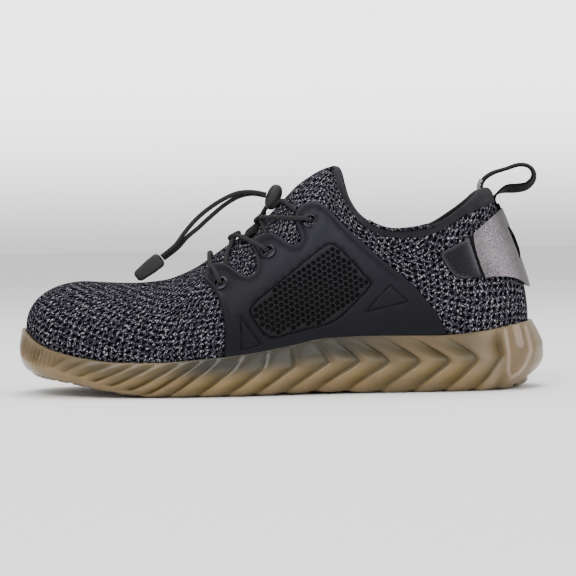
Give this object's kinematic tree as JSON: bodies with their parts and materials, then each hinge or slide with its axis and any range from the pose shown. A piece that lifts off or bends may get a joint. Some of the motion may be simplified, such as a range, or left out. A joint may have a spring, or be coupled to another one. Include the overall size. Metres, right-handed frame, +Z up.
{
  "type": "knit safety sneaker",
  "caption": "Low knit safety sneaker for the left foot, with moulded side overlays, elastic cord lacing and a ribbed gum cup sole.",
  "frame": {"origin": "on the floor under the middle of the shoe's length and width, without the free cord end", "axes": "+X from toe to heel, +Y to the inner side of the foot, +Z up; the outer side faces -Y"},
  "size_m": [0.2996, 0.1078, 0.1278],
  "materials": {
    "knit": "looped knit, near black with pale flecks",
    "cuff": "plain charcoal knit",
    "gum_rubber": "translucent gum, semi gloss",
    "footbed": "black textile over foam",
    "moulded_overlay": "matt moulded film",
    "leather": "pearly grey, fine grain",
    "leather_tab": "dark, slightly glossy",
    "webbing": "black woven tape",
    "cord": "round elastic cord, charcoal",
    "eyelet_metal": "black nickel, glossy",
    "hard_plastic": "charcoal, satin"
  },
  "bodies": {
    "root": {"outsole": "gum_rubber", "insole": "footbed", "upper": "knit", "collar_cuff": "cuff", "saddle_lateral": "moulded_overlay", "saddle_medial": "moulded_overlay", "vent_panel_lateral": "moulded_overlay", "vent_panel_medial": "moulded_overlay", "back_tape": "webbing", "pull_loop": "webbing", "heel_strap": "leather", "strap_tab_lateral": "leather_tab", "strap_tab_medial": "leather_tab", "lace_keeper": "webbing", "lace_bar": "cord", "lace_cross_low": "cord", "lace_cross_top": "cord", "lace_top_lateral": "cord", "lace_top_medial": "cord", "cord_lock": "hard_plastic", "lace_tail_upper": "cord", "lace_tail_lower": "cord", "cord_clip": "hard_plastic", "eyelet_lateral_1": "eyelet_metal", "eyelet_lateral_2": "eyelet_metal", "eyelet_lateral_3": "eyelet_metal", "eyelet_medial_1": "eyelet_metal", "eyelet_medial_2": "eyelet_metal", "eyelet_medial_3": "eyelet_metal"}
  },
  "joints": []
}
